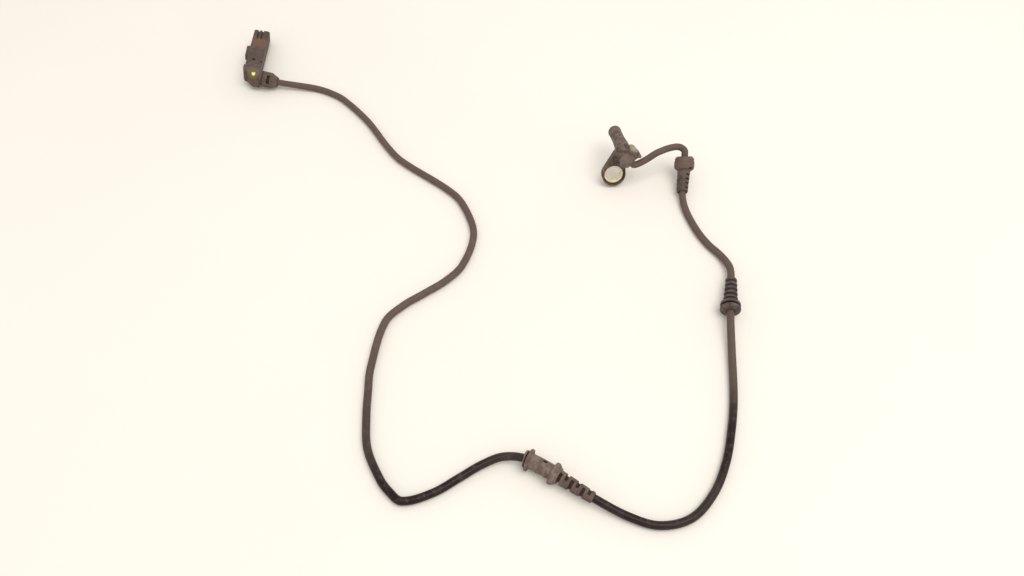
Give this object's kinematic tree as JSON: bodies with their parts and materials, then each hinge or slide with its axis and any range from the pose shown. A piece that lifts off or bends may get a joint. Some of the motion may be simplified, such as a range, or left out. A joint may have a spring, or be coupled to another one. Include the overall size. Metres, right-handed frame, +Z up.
{
  "type": "abs wheel speed sensor",
  "caption": "Wheel speed sensor with a probe head and bolt lug, a loose two-core cable carrying rubber grommets, and an angled two-way plug.",
  "frame": {"origin": "on the floor, under the middle of the probe head's bounding box; the head stands on the lug's rim", "axes": "+Z up; +Y away from the viewer, the way the probe points before it dips; +X to the viewer's right, the side the cable leaves from"},
  "size_m": [0.3783, 0.4331, 0.0374],
  "materials": {
    "housing_plastic": "moulded, dusty, with lighter rubbed edges",
    "bush_brass": "turned, dulled",
    "carrier_plastic": "moulded",
    "chip_resin": "moulded resin",
    "magnet_metal": "plated",
    "tinned_metal": "tinned",
    "crimp_brass": "crimped",
    "core_dark": "extruded insulation",
    "core_brown": "extruded insulation",
    "cable_sheath": "extruded sheath, dusty and scuffed",
    "inner_rubber": "moulded, dusty",
    "middle_rubber": "moulded",
    "spool_rubber": "moulded, pale with dust",
    "plug_plastic": "moulded, stained, with a yellow paint dot",
    "cap_plastic": "moulded",
    "seal_rubber": "moulded"
  },
  "bodies": {
    "root": {"sensor_housing": "housing_plastic", "bolt_bush": "bush_brass", "element_carrier": "carrier_plastic", "sensing_chip": "chip_resin", "bias_magnet": "magnet_metal", "chip_lead_left": "tinned_metal", "chip_lead_right": "tinned_metal", "crimp_sleeve_left": "crimp_brass", "crimp_sleeve_right": "crimp_brass", "head_core_left": "core_dark", "head_core_right": "core_brown", "cable": "cable_sheath", "inner_grommet": "inner_rubber", "middle_grommet": "middle_rubber", "spool_grommet": "spool_rubber", "plug_housing": "plug_plastic", "plug_rear_cap": "cap_plastic", "cable_seal": "seal_rubber", "plug_terminal_left": "tinned_metal", "plug_terminal_right": "tinned_metal", "plug_core_left": "core_dark", "plug_core_right": "core_brown"}
  },
  "joints": []
}
